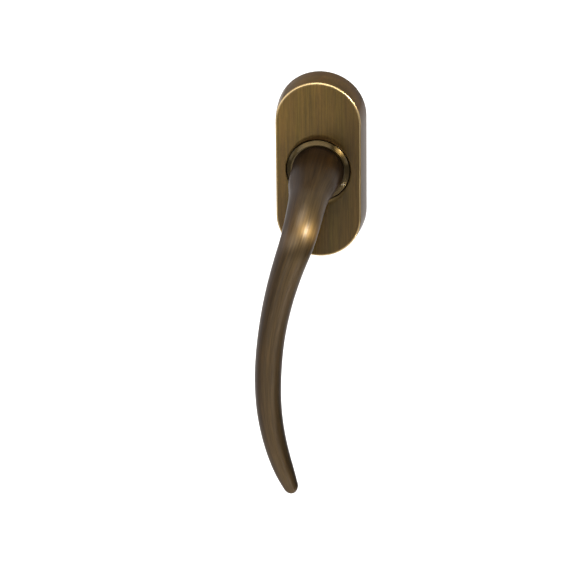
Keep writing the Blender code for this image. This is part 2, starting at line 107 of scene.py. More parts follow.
# Lever: its centre line and sections, as in the CAD model but for a rounder end
NECK_BASE = COLLAR_FRONT + GAP
NECK_BASE_ROUND = 0.35 * MM
NECK_BASE_STEPS = 5
NECK_STRAIGHT_END = 16 * MM  # depth at which the neck starts to lean over
NECK_HANDLE = 12.8 * MM      # length of the elbow curve's handle on the neck
NECK_LEAN = -1.0 * MM        # how far that handle leans sideways
GRIP_HANDLE = 11.1 * MM      # length of the elbow curve's handle on the grip
GRIP_START = 15 * MM         # drop below the axis at which the grip starts
GRIP_END = 107.7 * MM
GRIP_BOW = 13.1 * MM         # how far the grip's bow reaches to the left
GRIP_BOW_DROP = 69.6 * MM    # drop at which it reaches that far
GRIP_UPPER_RADIUS = 150 * MM
GRIP_LOWER_RADIUS = 104 * MM
GRIP_DEPTH = 51.5 * MM       # depth of its centre line above the bend
GRIP_RETURN_DROP = 26 * MM   # drop below which the grip bends gently back to the window
GRIP_RETURN_RADIUS = 470 * MM
TIP_LENGTH_RATIO = 1.35      # length of the rounded tip over half its width
TIP_START = math.radians(8.5)    # where on its oval the tip takes over from the taper
TIP_END = math.radians(88)       # and where the tip is cut off flat
TIP_STEPS = 14
NECK_STEPS, ELBOW_STEPS, GRIP_STEPS = 3, 40, 96
EASING_PASSES = 12
# Half the lever's width at distances along it from the collar
LEVER_HALF_WIDTHS = (
    (0.0, 9.25 * MM),
    (4 * MM, 9.0 * MM),
    (9 * MM, 8.75 * MM),
    (13.5 * MM, 8.3 * MM),
    (17 * MM, 7.65 * MM),
    (21 * MM, 7.0 * MM),
    (26 * MM, 6.6 * MM),
    (33 * MM, 6.35 * MM),
    (40 * MM, 6.1 * MM),
    (55 * MM, 5.4 * MM),
    (76 * MM, 4.8 * MM),
    (96 * MM, 4.6 * MM),
    (117 * MM, 4.1 * MM),
    (133 * MM, 3.4 * MM),
    (143 * MM, 2.3 * MM),
)
# Its thickness over its width at distances along it: the neck is flattened, the grip is deep
LEVER_DEPTH_RATIOS = (
    (0.0, 1.0),
    (9 * MM, 0.85),
    (14 * MM, 0.79),
    (19 * MM, 0.82),
    (26 * MM, 0.94),
    (33 * MM, 1.0),
    (55 * MM, 1.15),
)
LEVER_SIDES = 72
# The brushing's pattern is worked out on a straight rod of this size, as if the lever were unbent
GRAIN_RADIUS = 6 * MM
GRAIN_LENGTH = 155 * MM

# Screws and spindle
SCREW_RADIUS = 2.5 * MM
SCREW_SIDES = 40
THREAD_PITCH = 0.8 * MM
THREAD_DEPTH = 0.4 * MM
THREAD_STEPS = 8
THREAD_STEEPNESS = 2.4       # one over the share of a turn that a flank takes from crest to root
SCREW_RIM = 0.25 * MM        # size of the chamfers on a screw's tip and head
RECESS_DEPTH = 1.9 * MM
RECESS_ARM = 2.4 * MM
RECESS_HALF_WIDTH = 0.55 * MM
RECESS_TAPER = 0.55          # size of the recess at its bottom over its size at the top
SPINDLE_CHAMFER = 0.8 * MM
SPINDLE_EDGE = 0.35 * MM

# Camera
CAMERA_AZIMUTH = math.radians(8.32)
CAMERA_ELEVATION = math.radians(22.28)
CAMERA_ROLL = math.radians(-0.62)
CAMERA_DISTANCE = 1.4
CAMERA_TARGET = Vector((-13.92 * MM, 0.0, -48.94 * MM))
CAMERA_SENSOR = 36.0
CAMERA_LENS = 244.66

# Studio
FLOOR_HEIGHT = -0.45
FLOOR_HALF = 8.0
LIT_MIDDLE = Vector((0.0, -0.02, -0.03))    # the point that the lamps face
LAMP_DISTANCE = 0.6
ROOM_LIGHT = 0.2             # brightness of the surroundings on the camera's side
BACKDROP_LIGHT = 1.0         # and behind the handle
DIFFUSE_LIGHT = 0.4          # and all round, for what they light
BACKDROP_MIDDLE = Vector((-0.3, 0.954, 0.0))
BACKDROP_FADE = (0.1, 0.6)   # cosines from its middle between which the room turns into backdrop
FLOOR_LIGHT_DISTANCE = 1.9
FLOOR_LIGHT_HEIGHT = 0.15
FLOOR_LIGHT_SIZE = (3.0, 6.0)
FLOOR_LIGHT_POWER = 80
WHITE = (1.0, 1.0, 1.0)
WARM_WHITE = (1.0, 0.94, 0.82)
CARD_X = 0.42                # how far to the right of the axis the dark card stands
CARD_LOW = (-0.15, -0.42)    # y and z of two opposite corners of the dark card
CARD_HIGH = (0.60, -0.13)


# Meshes

def new_mesh(name, points, faces, sharp_angle=40):
    """A mesh with its faces turned outwards, smooth except across sharp edges."""
    mesh = bpy.data.meshes.new(name)
    mesh.from_pydata([tuple(point) for point in points], [], faces)
    bm = bmesh.new()
    bm.from_mesh(mesh)
    bmesh.ops.recalc_face_normals(bm, faces=bm.faces)
    bm.to_mesh(mesh)
    bm.free()
    mesh.shade_smooth()
    mesh.set_sharp_from_angle(angle=math.radians(sharp_angle))
    return mesh


def new_object(name, mesh, material=None):
    """An object in the scene, with its material where it has one."""
    obj = bpy.data.objects.new(name, mesh)
    scene.collection.objects.link(obj)
    if material:
        mesh.materials.append(material)
    return obj


def ring_faces(rows, count, closed):
    """Quads between rows of points; a closed set of rows also joins the last row to the first."""
    faces = []
    for row in range(rows if closed else rows - 1):
        low, high = row * count, (row + 1) % rows * count
        for i in range(count):
            j = (i + 1) % count
            faces.append((low + i, low + j, high + j, high + i))
    return faces


def skinned(name, rings, closed=False, sharp_angle=40):
    """A skin over rings of equal point counts, with flat caps unless its rows are closed."""
    count = len(rings[0])
    points = [point for ring in rings for point in ring]
    faces = ring_faces(len(rings), count, closed)
    if not closed:
        faces += [tuple(range(count)), tuple(range(len(points) - count, len(points)))]
    return new_mesh(name, points, faces, sharp_angle)


def circle(radius, depth, sides, z=0.0):
    """Points of a circle round a line along Y at a height."""
    angles = [2 * math.pi * i / sides for i in range(sides)]
    return [Vector((radius * math.cos(a), -depth, z + radius * math.sin(a))) for a in angles]


def turned(name, section, sides=96):
    """A ring turned about the Y axis, from (depth, radius) pairs all round its section."""
    rings = [circle(radius, depth, sides) for depth, radius in section]
    return skinned(name, rings, closed=True)


def rounded_corner(corner, before, after, radius, steps=4):
    """Points of a small arc that rounds the corner of a (depth, radius) section."""
    corner, before, after = Vector(corner), Vector(before), Vector(after)
    to_before = (before - corner).normalized()
    to_after = (after - corner).normalized()
    start = corner + to_before * radius
    end = corner + to_after * radius
    points = []
    for step in range(steps + 1):
        t = step / steps
        points.append(start * (1 - t) ** 2 + corner * 2 * t * (1 - t) + end * t * t)
    return [tuple(point) for point in points]


def rounded_section(corners, radius):
    """A closed section with every corner rounded."""
    points = []
    for i, corner in enumerate(corners):
        before, after = corners[i - 1], corners[(i + 1) % len(corners)]
        points += rounded_corner(corner, before, after, radius)
    return points


def apply_modifiers(obj):
    """Make an object's modifiers part of its mesh."""
    graph = bpy.context.evaluated_depsgraph_get()
    mesh = bpy.data.meshes.new_from_object(obj.evaluated_get(graph))
    obj.modifiers.clear()
    obj.data = mesh


def cut(obj, cutters):
    """Cut closed meshes out of an object, for good."""
    tools = [new_object(f"tool_{i}", mesh) for i, mesh in enumerate(cutters)]
    for tool in tools:
        modifier = obj.modifiers.new(tool.name, "BOOLEAN")
        modifier.operation = "DIFFERENCE"
        modifier.object = tool
    apply_modifiers(obj)
    for tool in tools:
        bpy.data.objects.remove(tool)


def block(name, low, high):
    """A box between two corners."""
    (x0, y0, z0), (x1, y1, z1) = low, high
    rings = [
        [Vector((x0, y, z0)), Vector((x1, y, z0)), Vector((x1, y, z1)), Vector((x0, y, z1))]
        for y in (y0, y1)
    ]
    return skinned(name, rings)


def store_floats(mesh, name, values):
    """Keep one number for each point of a mesh, for its material to read."""
    mesh.attributes.new(name, "FLOAT", "POINT").data.foreach_set("value", values)


# Rose cover

def obround(width, height, arc_steps=40, side_steps=14):
    """Points (x, z) of an upright slot shape, counter-clockwise from its right side."""
    radius = width / 2
    centre = height / 2 - radius
    points = []
    for side in (1, -1):
        for step in range(arc_steps + 1):
            angle = math.pi * step / arc_steps
            points.append((
                side * radius * math.cos(angle),
                side * (centre + radius * math.sin(angle)),
            ))
        for step in range(1, side_steps):
            points.append((-side * radius, side * centre * (1 - 2 * step / side_steps)))
    return points


def rose_ring(inset, depth):
    """The rose's outline, drawn in by an inset, at a depth."""
    outline = obround(ROSE_WIDTH - 2 * inset, ROSE_HEIGHT - 2 * inset)
    return [Vector((x, -depth, z)) for x, z in outline]


def hole_ring(radius, depth):
    """A circle whose points lie in the same directions as the rose outline's."""
    ring = []
    for x, z in obround(ROSE_WIDTH, ROSE_HEIGHT):
        length = math.hypot(x, z)
        ring.append(Vector((radius * x / length, -depth, radius * z / length)))
    return ring


def between(first, second, shares):
    """Rings part of the way from one ring to another."""
    return [[a.lerp(b, share) for a, b in zip(first, second)] for share in shares]


def side_inset(depth):
    """How far the bowed side has leaned in at a depth."""
    return ROSE_TAPER * ((depth - ROSE_BACK) / (ROSE_DEPTH - ROSE_BACK)) ** ROSE_BOW


def rose_cover(material):
    """The shell: bowed sides, a rounded arris, a flat face and a round hole for the collar."""
    rings, wear = [], []

    def add(new_rings, amount):
        rings.extend(new_rings)
        wear.extend([amount] * len(new_rings))

    hole = COLLAR_RADIUS + GAP
    side_top = ROSE_DEPTH - ARRIS_RADIUS
    add([rose_ring(LIP_RADIUS, ROSE_BACK), rose_ring(0.0, ROSE_BACK + LIP_RADIUS)], LIP_WEAR)
    for step in range(1, SIDE_STEPS + 1):
        depth = side_top * step / SIDE_STEPS
        add([rose_ring(side_inset(depth), depth)], 0.0)
    for step in range(1, ARRIS_STEPS + 1):
        angle = math.pi / 2 * step / ARRIS_STEPS
        inset = side_inset(side_top) + ARRIS_RADIUS * (1 - math.cos(angle))
        ring = rose_ring(inset, side_top + ARRIS_RADIUS * math.sin(angle))
        add([ring], ARRIS_WEAR if step < ARRIS_STEPS else FACE_EDGE_WEAR)
    face_hole = hole_ring(hole + LIP_RADIUS, ROSE_DEPTH)
    add(between(rings[-1], face_hole, FACE_SHARES), 0.0)
    add([face_hole], FACE_EDGE_WEAR)
    add([hole_ring(hole, ROSE_DEPTH - LIP_RADIUS)], HOLE_WEAR)
    inner_depth = ROSE_DEPTH - ROSE_WALL
    inner_edge = rose_ring(side_inset(side_top) + ROSE_WALL + ARRIS_RADIUS, inner_depth)
    add(between(hole_ring(hole, inner_depth), inner_edge, (0.0, 0.5, 1.0)), 0.0)
    inner_side = inner_depth - ARRIS_RADIUS - ROSE_BACK
    for step in reversed(range(SIDE_STEPS)):
        depth = ROSE_BACK + inner_side * step / (SIDE_STEPS - 1)
        add([rose_ring(ROSE_WALL + side_inset(depth), depth)], 0.0)
    mesh = skinned("rose_cover_shell", rings, closed=True, sharp_angle=50)
    store_floats(mesh, "wear", [value for value, ring in zip(wear, rings) for _ in ring])
    cover = new_object("rose_cover_shell", mesh, material)
    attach(cover, "cover")
    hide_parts("rose_cover")


# Collar

def neck_collar(material):
    """The turned ring round the neck, with softened rims."""
    flange_front = ROSE_DEPTH - ROSE_WALL - GAP
    corners = [
        (COLLAR_FLANGE_BACK, COLLAR_BORE),
        (COLLAR_FLANGE_BACK, COLLAR_FLANGE_RADIUS),
        (flange_front, COLLAR_FLANGE_RADIUS),
        (flange_front, COLLAR_RADIUS),
        (COLLAR_FRONT - COLLAR_BEVEL_DEPTH, COLLAR_RADIUS),
        (COLLAR_FRONT, COLLAR_RADIUS - COLLAR_BEVEL_WIDTH),
        (COLLAR_FRONT, COLLAR_BORE),
    ]
    section = rounded_section(corners, LIP_RADIUS)
    collar = new_object("neck_collar_ring", turned("neck_collar_ring", section), material)
    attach(collar, "base")
    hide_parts("neck_collar")


# Lever

def grip_point(drop):
    """A point on the grip's centre line at a drop below the axis."""
    below_bow = drop - GRIP_BOW_DROP
    bow_radius = GRIP_UPPER_RADIUS if below_bow < 0 else GRIP_LOWER_RADIUS
    x = -GRIP_BOW + below_bow ** 2 / (2 * bow_radius)
    bend = max(drop - GRIP_RETURN_DROP, 0.0)
    depth = GRIP_DEPTH - bend ** 2 / (2 * GRIP_RETURN_RADIUS)
    return Vector((x, -depth, -drop))


def elbow_point(t):
    """A point on the cubic curve that joins the neck to the grip, for t from 0 to 1."""
    start = Vector((0.0, -NECK_STRAIGHT_END, 0.0))
    end = grip_point(GRIP_START)
    tangent = (grip_point(GRIP_START + GAP) - end).normalized()
    first = start + Vector((NECK_LEAN, -NECK_HANDLE, 0.0))
    second = end - tangent * GRIP_HANDLE
    s = 1 - t
    return start * s ** 3 + first * 3 * s * s * t + second * 3 * s * t * t + end * t ** 3


def lever_line():
    """The lever's centre line from the collar to the tip, in short steps, with its bends eased."""
    line = []
    for i in range(NECK_STEPS):
        depth = NECK_BASE + (NECK_STRAIGHT_END - NECK_BASE) * i / NECK_STEPS
        line.append(Vector((0.0, -depth, 0.0)))
    line += [elbow_point(i / ELBOW_STEPS) for i in range(ELBOW_STEPS)]
    reach = GRIP_END - GRIP_START
    line += [grip_point(GRIP_START + reach * i / GRIP_STEPS) for i in range(GRIP_STEPS + 1)]
    for _ in range(EASING_PASSES):
        eased = line[:]
        for i in range(2, len(line) - 2):
            eased[i] = (line[i - 1] + line[i] * 2 + line[i + 1]) / 4
        line = eased
    return line


def smooth_value(stations, at):
    """The value at a distance, on a smooth curve through (distance, value) stations."""
    last = len(stations) - 1
    at = min(max(at, stations[0][0]), stations[last][0])
    i = next(k for k in range(last) if at <= stations[k + 1][0])

    def slope(k):
        a, b = stations[max(k - 1, 0)], stations[min(k + 1, last)]
        return (b[1] - a[1]) / (b[0] - a[0])

    (x0, v0), (x1, v1) = stations[i], stations[i + 1]
    h = x1 - x0
    t = (at - x0) / h
    return (
        (2 * t ** 3 - 3 * t ** 2 + 1) * v0
        + (t ** 3 - 2 * t ** 2 + t) * h * slope(i)
        + (3 * t ** 2 - 2 * t ** 3) * v1
        + (t ** 3 - t ** 2) * h * slope(i + 1)
    )


def oval_ring(centre, across, through, half_width, half_depth):
    """Points of an oval round a centre, in the plane of two directions."""
    angles = [2 * math.pi * i / LEVER_SIDES for i in range(LEVER_SIDES)]
    return [
        centre + across * half_width * math.cos(a) + through * half_depth * math.sin(a)
        for a in angles
    ]


def lever_rings():
    """Sections along the lever with their distances from the collar, up to a rounded tip."""
    rings, distances = [], []

    def add(centre, half_width, half_depth, distance):
        rings.append(oval_ring(centre, across, through, half_width, half_depth))
        distances.append(distance)

    line = lever_line()
    across = Vector((1.0, 0.0, 0.0))
    along = 0.0
    for i, centre in enumerate(line):
        if i:
            along += (centre - line[i - 1]).length
        tangent = (line[min(i + 1, len(line) - 1)] - line[max(i - 1, 0)]).normalized()
        across = (across - tangent * across.dot(tangent)).normalized()
        through = tangent.cross(across)
        half_width = smooth_value(LEVER_HALF_WIDTHS, along)
        half_depth = half_width * smooth_value(LEVER_DEPTH_RATIOS, along)
        if i:
            add(centre, half_width, half_depth, along)
            continue
        for step in range(NECK_BASE_STEPS):
            angle = math.pi / 2 * step / NECK_BASE_STEPS
            shift = tangent * NECK_BASE_ROUND * (1 - math.cos(angle))
            size = half_width - NECK_BASE_ROUND * (1 - math.sin(angle))
            add(centre + shift, size, size, along)
    for step in range(1, TIP_STEPS + 1):
        angle = TIP_START + (TIP_END - TIP_START) * step / TIP_STEPS
        size = math.cos(angle) / math.cos(TIP_START)
        reach = half_width * TIP_LENGTH_RATIO * (math.sin(angle) - math.sin(TIP_START))
        add(centre + tangent * reach, half_width * size, half_depth * size, along + reach)
    return rings, distances


def spigot_rings():
    """The turned end of the lever, from its back up to the neck's base."""
    profile = (
        (HUB_BACK, HUB_RADIUS),
        (GROOVE_BACK, HUB_RADIUS),
        (GROOVE_BACK, GROOVE_RADIUS),
        (GROOVE_FRONT, GROOVE_RADIUS),
        (GROOVE_FRONT, HUB_RADIUS),
        (HUB_FRONT, HUB_RADIUS),
        (HUB_FRONT, SPIGOT_RADIUS),
        (NECK_BASE, SPIGOT_RADIUS),
    )
    x_axis, z_axis = Vector((1.0, 0.0, 0.0)), Vector((0.0, 0.0, 1.0))
    rings = [
        oval_ring(Vector((0.0, -depth, 0.0)), x_axis, z_axis, radius, radius)
        for depth, radius in profile
    ]
    return rings, [depth - NECK_BASE for depth, _ in profile]


def lever_handle(material):
    """The cast lever in one piece, with its socket, flats and set screw hole."""
    spigot, spigot_distances = spigot_rings()
    body, body_distances = lever_rings()
    rings = spigot + body
    distances = spigot_distances + body_distances
    mesh = skinned("lever_casting", rings, sharp_angle=50)
    wrap_uv(mesh, distances)
    lever = new_object("lever_casting", mesh, material)
    half = SOCKET_HALF
    cutters = [
        block("socket", (-half, -SOCKET_FRONT, -half), (half, 0.0, half)),
        upright_cylinder("grub_hole", GRUB_HOLE_RADIUS, -GRUB_HOLE_REACH, 0.0, GRUB_DEPTH),
    ]
    for x0, x1 in ((-2 * HUB_FLAT, -HUB_FLAT), (HUB_FLAT, 2 * HUB_FLAT)):
        low = (x0, -HUB_FRONT + GAP, -HUB_RADIUS)
        cutters.append(block("flat", low, (x1, 0.0, HUB_RADIUS)))
    cut(lever, cutters)
    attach(lever, "lever")
    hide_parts("lever_handle")


def wrap_uv(mesh, distances):
    """A UV map that runs once round each ring, with v along the piece."""
    layer = mesh.uv_layers.new(name="wrap")
    length = distances[-1] - distances[0]
    for polygon in mesh.polygons:
        columns = [index % LEVER_SIDES for index in polygon.vertices]
        crosses_seam = max(columns) - min(columns) > LEVER_SIDES / 2
        for loop, index, column in zip(polygon.loop_indices, polygon.vertices, columns):
            if crosses_seam and column < LEVER_SIDES / 2:
                column += LEVER_SIDES
            v = (distances[index // LEVER_SIDES] - distances[0]) / length
            layer.data[loop].uv = (column / LEVER_SIDES, v)


def upright_cylinder(name, radius, low, high, depth, sides=32):
    """A cylinder along Z, centred at x = 0 and a depth."""
    angles = [2 * math.pi * i / sides for i in range(sides)]
    rings = [
        [Vector((radius * math.cos(a), -depth + radius * math.sin(a), z)) for a in angles]
        for z in (low, high)
    ]
    return skinned(name, rings)


# Screws and spindle

def thread_radius(depth, angle, crest):
    """The radius of a screw's thread at a depth and an angle round it."""
    turn = (depth / THREAD_PITCH - angle / (2 * math.pi)) % 1.0
    return crest - THREAD_DEPTH * min(1.0, THREAD_STEEPNESS * abs(turn - 0.5))


def threaded_rings(start, end, crest, z):
    """Rings of a helical thread, which fades in over one turn at each end."""
    steps = round((end - start) / THREAD_PITCH * THREAD_STEPS)
    rings = []
    for step in range(steps + 1):
        depth = start + (end - start) * step / steps
        fade = min(1.0, (depth - start) / THREAD_PITCH, (end - depth) / THREAD_PITCH)
        ring = []
        for i in range(SCREW_SIDES):
            angle = 2 * math.pi * i / SCREW_SIDES
            cut_away = (crest - thread_radius(depth, angle, crest)) * fade
            radius = crest - cut_away
            ring.append(Vector((radius * math.cos(angle), -depth, z + radius * math.sin(angle))))
        rings.append(ring)
    return rings


def fixing_screw(label, material):
    """A countersunk machine screw with its thread and a cross recess."""
    low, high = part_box(f"fixing_screw_{label}")
    z = (low.z + high.z) / 2
    tip, head = -high.y, -low.y
    head_radius = (high.x - low.x) / 2
    cone_start = head - (head_radius - SCREW_RADIUS)
    root = SCREW_RADIUS - THREAD_DEPTH
    tip_outline = ((tip, root - SCREW_RIM), (tip + SCREW_RIM, root))
    head_outline = (
        (cone_start, SCREW_RADIUS),
        (head - SCREW_RIM, head_radius - 0.5 * SCREW_RIM),
        (head - 0.6 * SCREW_RIM, head_radius),
        (head - 0.2 * SCREW_RIM, head_radius - 0.2 * SCREW_RIM),
        (head, head_radius - SCREW_RIM),
    )
    rings = [circle(radius, depth, SCREW_SIDES, z) for depth, radius in tip_outline]
    rings += threaded_rings(tip + 2 * SCREW_RIM, cone_start - SCREW_RIM, SCREW_RADIUS, z)
    rings += [circle(radius, depth, SCREW_SIDES, z) for depth, radius in head_outline]
    screw = new_object(f"fixing_screw_body_{label}", skinned("fixing_screw", rings), material)
    cut(screw, [cross_recess(head, z)])
    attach(screw, "base")
    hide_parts(f"fixing_screw_{label}")


def cross_recess(head, z):
    """A tapered plus-shaped cutter for the recess of a screw's head."""
    rings = []
    for depth, size in ((head - RECESS_DEPTH, RECESS_TAPER), (head + GAP, 1.0)):
        ring = []
        for quarter in range(4):
            angle = quarter * math.pi / 2
            out = Vector((math.cos(angle), 0.0, math.sin(angle)))
            across = Vector((-math.sin(angle), 0.0, math.cos(angle)))
            end, side = out * RECESS_ARM * size, across * RECESS_HALF_WIDTH
            ring += [end - side, end + side, (out + across) * RECESS_HALF_WIDTH]
        rings.append([point + Vector((0.0, -depth, z)) for point in ring])
    return skinned("cross_recess", rings)


def spindle(material):
    """The square bar with its long edges broken and its far end chamfered."""
    low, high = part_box("spindle")
    half = (high.x - low.x) / 2
    rings = []
    for depth, size in (
        (-high.y, half - SPINDLE_CHAMFER),
        (-high.y + SPINDLE_CHAMFER, half),
        (-low.y - SPINDLE_EDGE, half),
        (-low.y, half - SPINDLE_EDGE),
    ):
        near = size - SPINDLE_EDGE
        corners = ((size, -near), (size, near), (near, size), (-near, size),
                   (-size, near), (-size, -near), (-near, -size), (near, -size))
        rings.append([Vector((x, -depth, z)) for x, z in corners])
    bar = new_object("spindle_bar", skinned("spindle_bar", rings, sharp_angle=30), material)
    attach(bar, "lever")
    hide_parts("spindle")


# Materials

class Shading:
    """A material's node tree, with short calls to add and link nodes."""

    def __init__(self, name):
        self.material = bpy.data.materials.new(name)
        self.material.use_nodes = True
        self.tree = self.material.node_tree
        self.shader = self.tree.nodes["Principled BSDF"]

    def add(self, kind, inputs=None, **settings):
        """A shader node with its settings made and its inputs set or linked."""
        node = self.tree.nodes.new(f"ShaderNode{kind}")
        for key, value in settings.items():
            setattr(node, key, value)
        for key, value in (inputs or {}).items():
            self.give(node.inputs[key], value)
        return node

    def give(self, socket, value):
        """Link another node's output to a socket, or set the socket to a value."""
        if isinstance(value, bpy.types.NodeSocket):
            self.tree.links.new(value, socket)
        else:
            socket.default_value = value

    def set(self, **inputs):
        """Set or link the shader's own sockets; underscores in a name stand for spaces."""
        for key, value in inputs.items():
            self.give(self.shader.inputs[key.replace("_", " ")], value)

    def noise(self, vector, scale, detail=2.0, roughness=0.5):
        """Noise over a vector stretched by a scale for each axis, in cycles per metre."""
        mapped = self.add("Mapping", {"Vector": vector, "Scale": scale})
        node = self.add("TexNoise", {
            "Vector": mapped.outputs["Vector"],
            "Scale": 1.0,
            "Detail": detail,
            "Roughness": roughness,
        })
        return node.outputs["Fac"]

    def remap(self, value, low, high, from_low=0.3, from_high=0.7):
        """A value taken from one range to another, held at the ends; noise is mostly 0.3 to 0.7."""
        node = self.add("MapRange", {
            "Value": value,
            "From Min": from_low,
            "From Max": from_high,
            "To Min": low,
            "To Max": high,
        })
        return node.outputs["Result"]

    def math(self, operation, a, b=0.0):
        """One operation on one or two values."""
        node = self.add("Math", operation=operation)
        self.give(node.inputs[0], a)
        self.give(node.inputs[1], b)
        return node.outputs["Value"]

    def multiply(self, *values):
        """The product of several values."""
        product = values[0]
        for value in values[1:]:
            product = self.math("MULTIPLY", product, value)
        return product

    def scaled(self, colour, amount):
        """A colour made lighter or darker."""
        node = self.add("VectorMath", {0: colour, "Scale": amount}, operation="SCALE")
        return node.outputs["Vector"]

    def mix(self, share, a, b):
        """A colour between two colours, each an output or three numbers."""
        node = self.add("Mix", data_type="RGBA")
        self.give(node.inputs["Factor"], share)
        for socket, value in ((node.inputs[6], a), (node.inputs[7], b)):
            self.give(socket, value if isinstance(value, bpy.types.NodeSocket) else (*value, 1.0))
        return node.outputs[2]

    def bump(self, height, distance, strength):
        """A normal from a height between 0 and 1, which stands for a distance."""
        node = self.add("Bump", {"Height": height, "Distance": distance, "Strength": strength})
        return node.outputs["Normal"]


# Colours of the metals; each finish runs unevenly between a pair
ROSE_WARM = (0.158, 0.085, 0.017)
ROSE_OLIVE = (0.138, 0.084, 0.012)
PATINA = (0.044, 0.026, 0.012)
PATINA_WARM = (0.058, 0.032, 0.012)
COLLAR_DARK = (0.045, 0.031, 0.012)
COLLAR_WARM = (0.062, 0.041, 0.014)
BRIGHT_BRASS = (0.66, 0.48, 0.24)
# Colour of the painted highlight along the lever's front right
PAINTED_HIGHLIGHT_BRONZE = (0.114, 0.071, 0.025)
EDGE_TINT = (0.40, 0.37, 0.36, 1.0)

# Painted shade: the rose's colour darkens from its upper left down to a slanted line through the
# axis
ROSE_PAINTED_SHADE_SLOPE = 1.4        # rise of that line over its run
ROSE_PAINTED_SHADE_REACH = 36 * MM    # height above the line where the painted shading is at its lightest
ROSE_PAINTED_SHADE = 0.60       # brightness below the line over the brightness up there

# Painted highlight: the lever's colour is lighter along its front right, from the neck on and less
# down the grip
PAINTED_HIGHLIGHT_SIDE = (0.6, 0.8, 0.0)       # to the right and, on the grip, to the front
PAINTED_HIGHLIGHT_EDGE = 0.45                  # share of the radius, towards that side, where it starts
PAINTED_HIGHLIGHT_FROM = (0.07, 0.25)          # shares of the lever's length over which it comes in
PAINTED_HIGHLIGHT_LESS_FROM = (0.32, 0.45)     # and those over which it drops to the share below
PAINTED_HIGHLIGHT_LESS = 0.6

# Finishes of everything but the three bronze pieces: dark and light colour, metallic value,
# roughness, speckles per metre and height of the tooth
PLAIN_FINISHES = {
    "zinc_casting": ((0.30, 0.30, 0.31), (0.42, 0.42, 0.43), 1.0, 0.5, 3500, 0.02 * MM),
    "black_nylon": ((0.012, 0.012, 0.013), (0.022, 0.022, 0.024), 0.0, 0.55, 6000, 0.01 * MM),
    "white_nylon": ((0.62, 0.60, 0.54), (0.70, 0.68, 0.62), 0.0, 0.42, 4000, 0.005 * MM),
    "zinc_plated_steel": ((0.52, 0.52, 0.49), (0.62, 0.62, 0.57), 1.0, 0.3, 5000, 0.003 * MM),
    "bearing_steel": ((0.60, 0.60, 0.61), (0.66, 0.66, 0.67), 1.0, 0.14, 9000, 0.0005 * MM),
    "spring_steel": ((0.22, 0.22, 0.24), (0.30, 0.30, 0.32), 1.0, 0.32, 6000, 0.002 * MM),
}
UNEVEN_GLOSS = 0.07


def brushed_bronze():
    """Antique bronze of the rose, brushed upright, rubbed bright along its arris, with painted shade
    down from its upper left.
    """
    s = Shading("brushed_bronze")
    place = s.add("TexCoord").outputs["Object"]
    hairs = s.noise(place, (6500, 6500, 120), detail=2.0, roughness=0.7)
    strands = s.noise(place, (2300, 2300, 55), detail=4.0, roughness=0.75)
    clouds = s.noise(place, (110, 110, 45), detail=2.0, roughness=0.55)
    hue = s.noise(place, (420, 420, 22), detail=1.0, roughness=0.5)
    axes = s.add("SeparateXYZ", {"Vector": place}).outputs
    # Painted shade: lighter at the upper left, darker below a slanted line through the axis
    painted_shade_slant = s.math("SUBTRACT", axes["Z"], s.math("MULTIPLY", axes["X"], ROSE_PAINTED_SHADE_SLOPE))
    shade = s.multiply(
        s.remap(strands, 0.55, 1.2),
        s.remap(hairs, 0.82, 1.18),
        s.remap(clouds, 0.85, 1.15),
        s.remap(painted_shade_slant, ROSE_PAINTED_SHADE, 1.0, 0.0, ROSE_PAINTED_SHADE_REACH),
    )
    colour = s.scaled(s.mix(s.remap(hue, 0.0, 1.0), ROSE_OLIVE, ROSE_WARM), shade)
    wear = s.add("Attribute", attribute_name="wear").outputs["Fac"]
    wear_and_painted_highlight = s.math("MULTIPLY", wear, s.remap(hairs, 0.55, 1.0))
    colour = s.mix(wear_and_painted_highlight, colour, BRIGHT_BRASS)
    s.set(
        Base_Color=colour,
        Metallic=1.0,
        Roughness=s.remap(strands, 0.30, 0.40),
        Normal=s.bump(hairs, 0.004 * MM, 0.6),
        Tangent=s.add("Tangent", direction_type="RADIAL", axis="Z").outputs["Tangent"],
        Anisotropic=0.6,
        Specular_Tint=EDGE_TINT,
        Coat_Weight=0.28,
        Coat_Roughness=0.2,
        Coat_IOR=1.5,
    )
    return s.material


